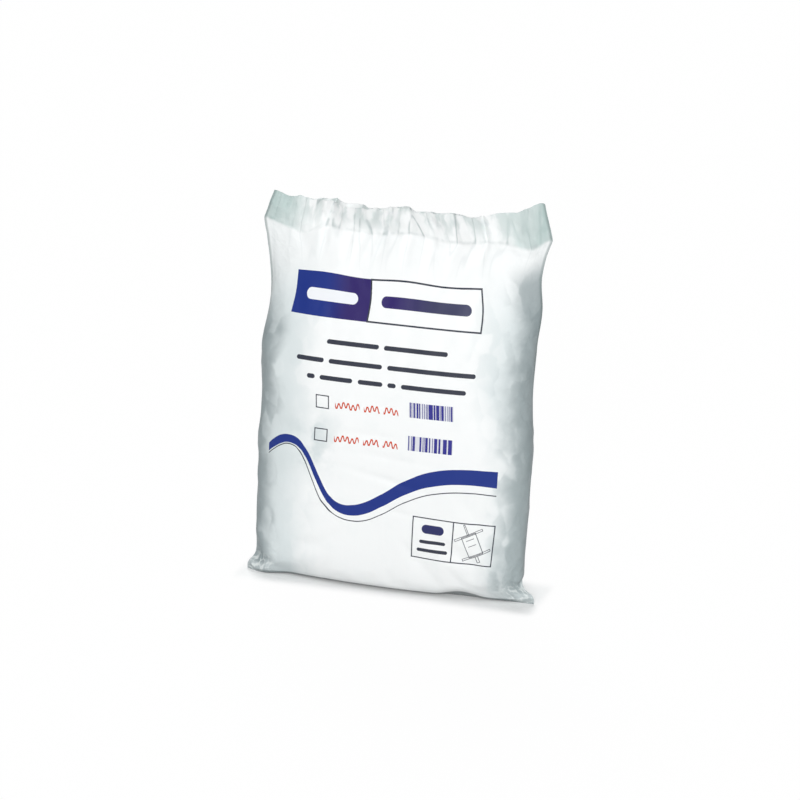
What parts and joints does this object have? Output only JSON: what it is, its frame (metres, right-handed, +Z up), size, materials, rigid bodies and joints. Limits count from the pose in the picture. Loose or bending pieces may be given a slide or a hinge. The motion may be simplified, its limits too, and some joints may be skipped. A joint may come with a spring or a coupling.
{
  "type": "sealed film pack of urine leg bags",
  "caption": "Sealed white film pillow pack of folded urine leg bags, upright on its flattened base, with a pleated skirt of film above the top weld.",
  "frame": {"origin": "middle of the flattened base, on the table, under the middle of the bounding box", "axes": "+Z up towards the top weld, +Y to the back, the printed front panel faces -Y, +X to the right seen from the front"},
  "size_m": [0.2992, 0.0782, 0.4074],
  "materials": {
    "printed_film": "soft-gloss white polythene film with blue print"
  },
  "bodies": {
    "root": {"sealed_pack": "printed_film"}
  },
  "joints": []
}
